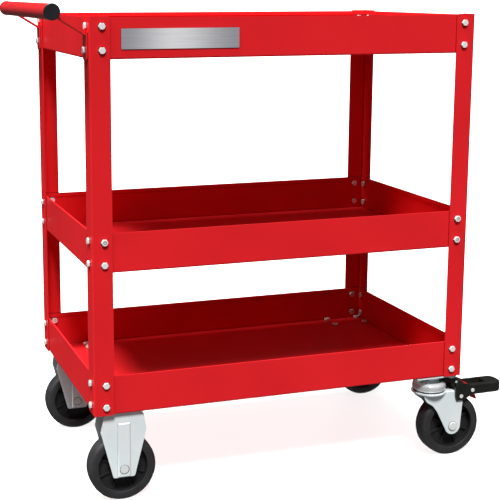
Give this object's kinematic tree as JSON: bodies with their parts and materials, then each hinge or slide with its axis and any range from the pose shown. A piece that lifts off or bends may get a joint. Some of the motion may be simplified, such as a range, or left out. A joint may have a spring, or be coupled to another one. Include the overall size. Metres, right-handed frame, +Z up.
{
  "type": "tool cart",
  "caption": "Open steel tool cart: bolted angle posts, stacked shallow trays, a tube push handle at one end, rigid casters under it and braked swivel casters at the far end.",
  "frame": {"origin": "on the floor, under the middle of the cart's outer box, handle and brake pedals included", "axes": "+X along the cart away from the handle, +Y across it away from the side with the name plate, +Z up"},
  "size_m": [0.9498, 0.4708, 0.9243],
  "materials": {
    "red_paint": "gloss red powder coat",
    "handle_paint": "gloss red powder coat",
    "black_plastic": "matte",
    "plate_metal": "brushed, blank",
    "zinc_fasteners": "bright zinc plating",
    "zinc_plate": "blue-white zinc plating",
    "bright_race": "polished",
    "tyre_rubber": "dull black rubber",
    "wheel_plastic": "moulded black nylon",
    "brake_plastic": "moulded black nylon",
    "release_red": "moulded red nylon"
  },
  "bodies": {
    "frame": {"front_left_post": "red_paint", "front_right_post": "red_paint", "rear_left_post": "red_paint", "rear_right_post": "red_paint", "lower_tray": "red_paint", "middle_tray": "red_paint", "upper_tray": "red_paint", "tray_bolts": "zinc_fasteners", "tray_nuts": "zinc_fasteners", "handle_tube": "handle_paint", "handle_cap_front": "black_plastic", "handle_cap_rear": "black_plastic", "handle_bracket_front": "handle_paint", "handle_bracket_rear": "handle_paint", "name_plate": "plate_metal", "caster_bolts": "zinc_fasteners", "caster_nuts": "zinc_fasteners", "rigid_axles": "zinc_fasteners", "rigid_axle_nuts": "zinc_fasteners", "front_rigid_fork": "zinc_plate", "rear_rigid_fork": "zinc_plate", "front_swivel_plate": "zinc_plate", "rear_swivel_plate": "zinc_plate", "front_kingpin": "zinc_fasteners", "rear_kingpin": "zinc_fasteners"},
    "front_rigid_wheel": {"front_rigid_tyre": "tyre_rubber", "front_rigid_wheel_core": "wheel_plastic", "front_rigid_bush": "zinc_fasteners"},
    "front_fork": {"front_ball_race": "bright_race", "front_race_balls": "bright_race", "front_swivel_fork": "zinc_plate", "front_swivel_axle": "zinc_fasteners", "front_swivel_axle_nut": "zinc_fasteners", "front_brake_housing": "brake_plastic", "front_brake_pins": "zinc_fasteners"},
    "front_swivel_wheel": {"front_swivel_tyre": "tyre_rubber", "front_swivel_wheel_core": "wheel_plastic", "front_swivel_bush": "zinc_fasteners"},
    "front_pedal": {"front_brake_pedal": "brake_plastic", "front_brake_shoe": "zinc_plate"},
    "front_release": {"front_release_lever": "release_red"},
    "rear_rigid_wheel": {"rear_rigid_tyre": "tyre_rubber", "rear_rigid_wheel_core": "wheel_plastic", "rear_rigid_bush": "zinc_fasteners"},
    "rear_fork": {"rear_ball_race": "bright_race", "rear_race_balls": "bright_race", "rear_swivel_fork": "zinc_plate", "rear_swivel_axle": "zinc_fasteners", "rear_swivel_axle_nut": "zinc_fasteners", "rear_brake_housing": "brake_plastic", "rear_brake_pins": "zinc_fasteners"},
    "rear_swivel_wheel": {"rear_swivel_tyre": "tyre_rubber", "rear_swivel_wheel_core": "wheel_plastic", "rear_swivel_bush": "zinc_fasteners"},
    "rear_pedal": {"rear_brake_pedal": "brake_plastic", "rear_brake_shoe": "zinc_plate"},
    "rear_release": {"rear_release_lever": "release_red"}
  },
  "joints": [
    {"name": "front_rigid_wheel_spin", "type": "hinge", "parent": "frame", "child": "front_rigid_wheel", "pos_m": [-0.3381, -0.195, 0.0645], "axis": [0, 1, 0], "continuous": true},
    {"name": "front_swivel", "type": "hinge", "parent": "frame", "child": "front_fork", "pos_m": [0.3149, -0.195, 0.1465], "axis": [0, 0, 1], "continuous": true},
    {"name": "front_swivel_wheel_spin", "type": "hinge", "parent": "front_fork", "child": "front_swivel_wheel", "pos_m": [0.3589, -0.195, 0.0645], "axis": [0, 1, 0], "continuous": true},
    {"name": "front_brake", "type": "hinge", "parent": "front_fork", "child": "front_pedal", "pos_m": [0.3999, -0.195, 0.139], "axis": [0, 1, 0], "range_deg": [0, 16]},
    {"name": "front_brake_release", "type": "hinge", "parent": "front_fork", "child": "front_release", "pos_m": [0.3999, -0.195, 0.139], "axis": [0, -1, 0], "range_deg": [0, 10], "stiffness_Nm_per_rad": 0.3, "springref_deg": -2.86},
    {"name": "rear_rigid_wheel_spin", "type": "hinge", "parent": "frame", "child": "rear_rigid_wheel", "pos_m": [-0.3381, 0.195, 0.0645], "axis": [0, 1, 0], "continuous": true},
    {"name": "rear_swivel", "type": "hinge", "parent": "frame", "child": "rear_fork", "pos_m": [0.3149, 0.195, 0.1465], "axis": [0, 0, 1], "continuous": true},
    {"name": "rear_swivel_wheel_spin", "type": "hinge", "parent": "rear_fork", "child": "rear_swivel_wheel", "pos_m": [0.3589, 0.195, 0.0645], "axis": [0, 1, 0], "continuous": true},
    {"name": "rear_brake", "type": "hinge", "parent": "rear_fork", "child": "rear_pedal", "pos_m": [0.3999, 0.195, 0.139], "axis": [0, 1, 0], "range_deg": [0, 16]},
    {"name": "rear_brake_release", "type": "hinge", "parent": "rear_fork", "child": "rear_release", "pos_m": [0.3999, 0.195, 0.139], "axis": [0, -1, 0], "range_deg": [0, 10], "stiffness_Nm_per_rad": 0.3, "springref_deg": -2.86}
  ]
}
